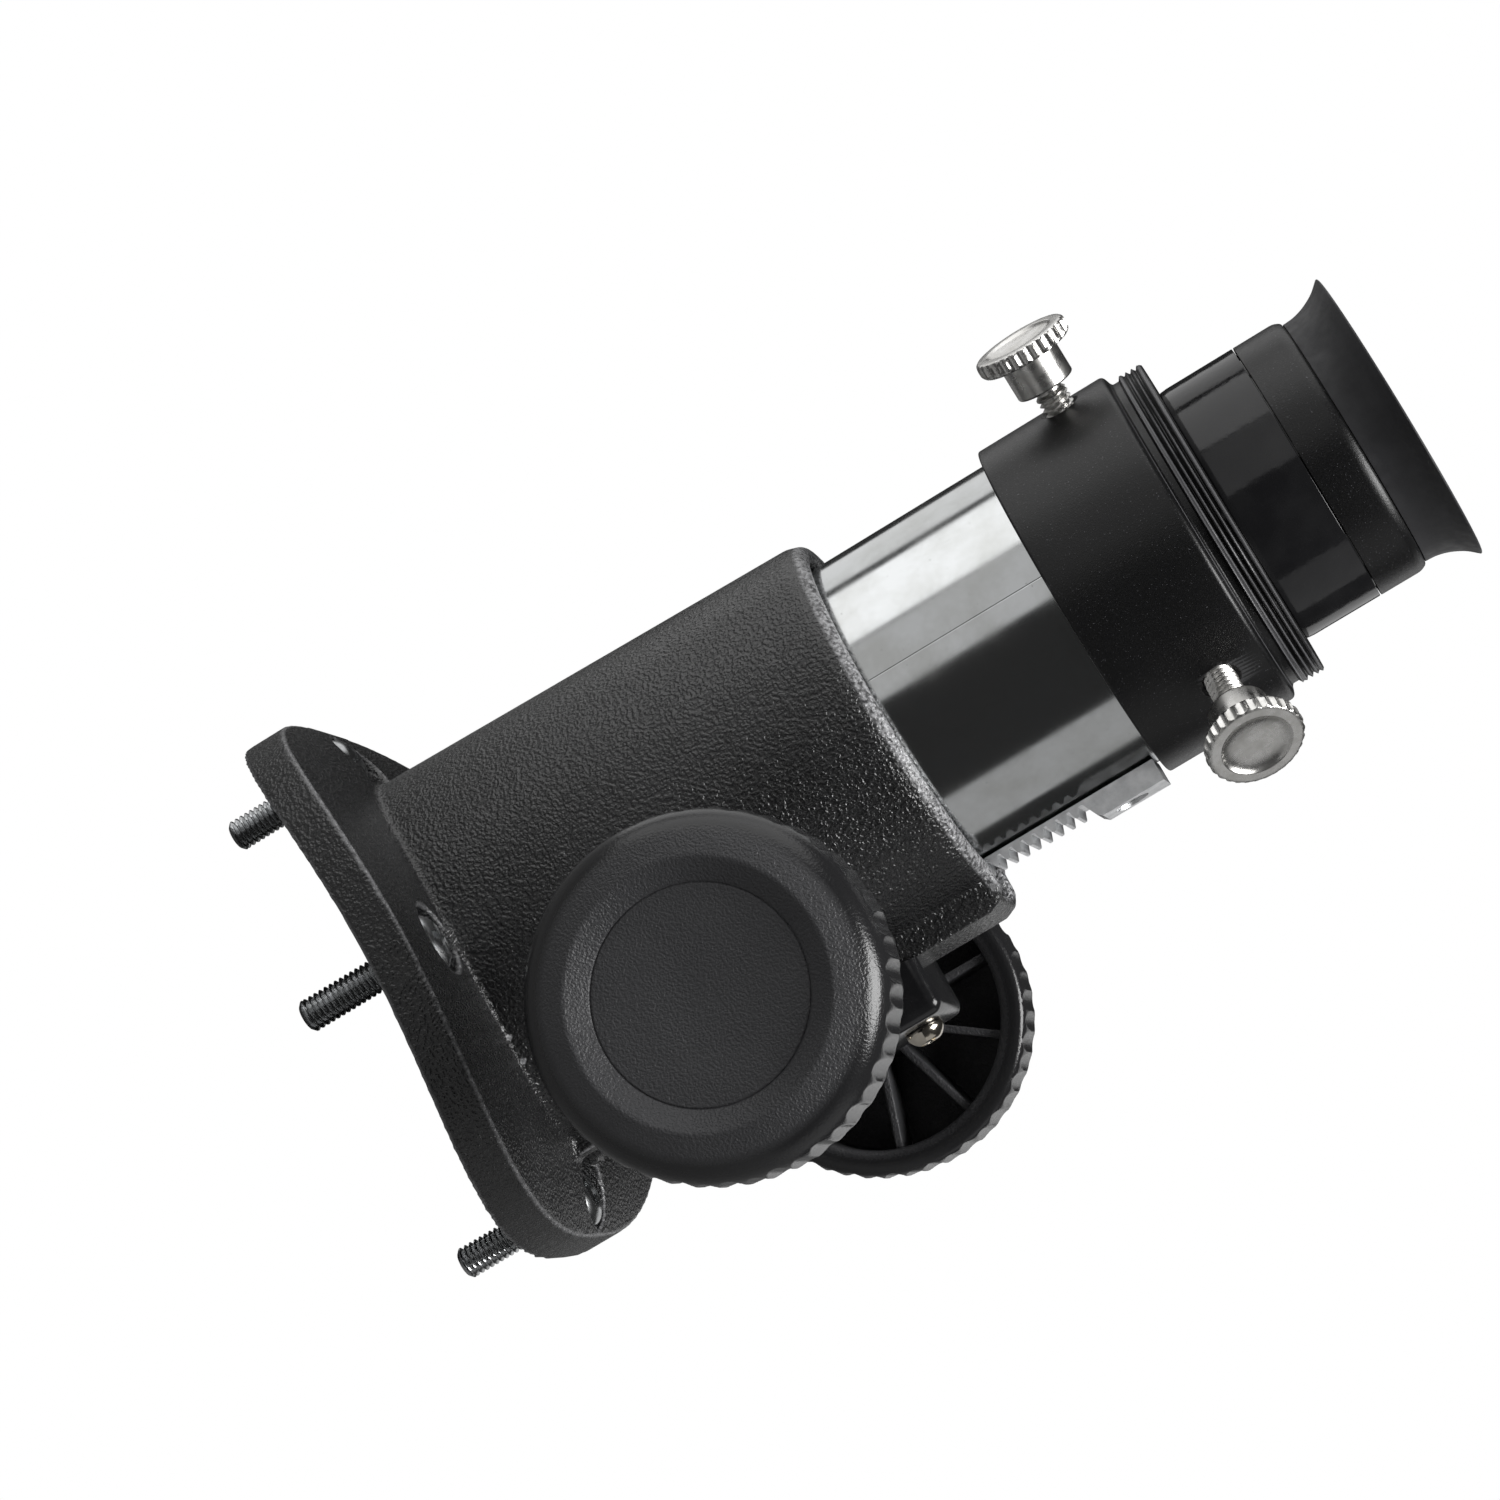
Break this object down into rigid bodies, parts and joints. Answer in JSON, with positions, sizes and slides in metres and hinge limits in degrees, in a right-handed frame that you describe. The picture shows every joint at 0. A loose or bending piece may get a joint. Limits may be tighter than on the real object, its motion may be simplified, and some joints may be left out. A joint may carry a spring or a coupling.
{
  "type": "telescope focuser",
  "caption": "Rack-and-pinion focuser of a reflector telescope: saddle-flanged housing, knobs on a pinion shaft, chrome drawtube, eyepiece holder and a short eyepiece.",
  "frame": {"origin": "on the drawtube axis, at the crown of the saddle that rests on the telescope tube", "axes": "+Z outward along the drawtube axis to the eye; X along the telescope tube and the pinion shaft; the rack and the knobs are on the -Y side"},
  "size_m": [0.1094, 0.0802, 0.1473],
  "materials": {
    "housing_plastic": "black moulded plastic with a fine pebble grain",
    "knob_plastic": "black moulded plastic, satin face and glossier rim",
    "nylon": "natural nylon, smooth",
    "black_steel": "gloss black paint on folded steel",
    "zinc_steel": "zinc plated, slightly dull",
    "nickel_screw": "nickel plated, bright",
    "shaft_steel": "ground steel",
    "chrome_tube": "bright plated tube with faint length-wise lines",
    "rack_zinc": "zinc plated steel rack",
    "black_anodised": "bead-blasted black anodised aluminium",
    "gloss_black": "gloss black lacquer",
    "thumb_nickel": "turned and nickel plated",
    "barrel_chrome": "polished chrome",
    "coated_glass": "clear glass with a green-purple anti-reflection coating",
    "flat_black": "flat black, anti-reflection",
    "cup_rubber": "matte black rubber"
  },
  "bodies": {
    "housing": {"focuser_housing": "housing_plastic", "guide_shims": "nylon", "mounting_screws": "zinc_steel", "pinion_cover": "black_steel", "cover_screws": "nickel_screw", "pinion_saddle": "nylon"},
    "pinion": {"pinion_shaft": "shaft_steel", "knob_left": "knob_plastic", "knob_right": "knob_plastic"},
    "tension_screw": {"tension_screw": "nickel_screw"},
    "drawtube": {"drawtube": "chrome_tube", "rack": "rack_zinc", "rack_screws": "zinc_steel", "eyepiece_holder": "black_anodised"},
    "thumbscrew_upper": {"thumbscrew_upper": "thumb_nickel"},
    "thumbscrew_lower": {"thumbscrew_lower": "thumb_nickel"},
    "eyepiece": {"eyepiece_barrel": "barrel_chrome", "field_stop": "flat_black", "field_lens": "coated_glass", "lens_spacer": "flat_black", "eye_lens": "coated_glass", "lens_retainer": "flat_black", "eyepiece_body": "gloss_black", "eyepiece_top_ring": "black_anodised", "eyecup": "cup_rubber"}
  },
  "joints": [
    {"name": "drawtube_slide", "type": "slide", "parent": "housing", "child": "drawtube", "axis": [0, 0, 1], "range_m": [-0.022, 0.019]},
    {"name": "pinion_turn", "type": "hinge", "parent": "housing", "child": "pinion", "pos_m": [0, -0.02445, 0.0326], "axis": [1, 0, 0], "range_deg": [-421, 364]},
    {"name": "tension_screw_turn", "type": "hinge", "parent": "housing", "child": "tension_screw", "pos_m": [0, -0.0335, 0.0326], "axis": [0, -1, 0], "range_deg": [-180, 180]},
    {"name": "thumbscrew_upper_turn", "type": "hinge", "parent": "drawtube", "child": "thumbscrew_upper", "pos_m": [0, 0, 0.0954], "axis": [-0.4226, 0.9063, 0], "range_deg": [0, 900]},
    {"name": "thumbscrew_lower_turn", "type": "hinge", "parent": "drawtube", "child": "thumbscrew_lower", "pos_m": [0, 0, 0.0954], "axis": [-0.5736, -0.8192, 0], "range_deg": [0, 900]},
    {"name": "eyepiece_slide", "type": "slide", "parent": "drawtube", "child": "eyepiece", "axis": [0, 0, 1], "range_m": [0, 0.03]}
  ],
  "couplings": [
    {"joint": "pinion_turn", "follows": "drawtube_slide", "rad_per_m": 333.33}
  ]
}
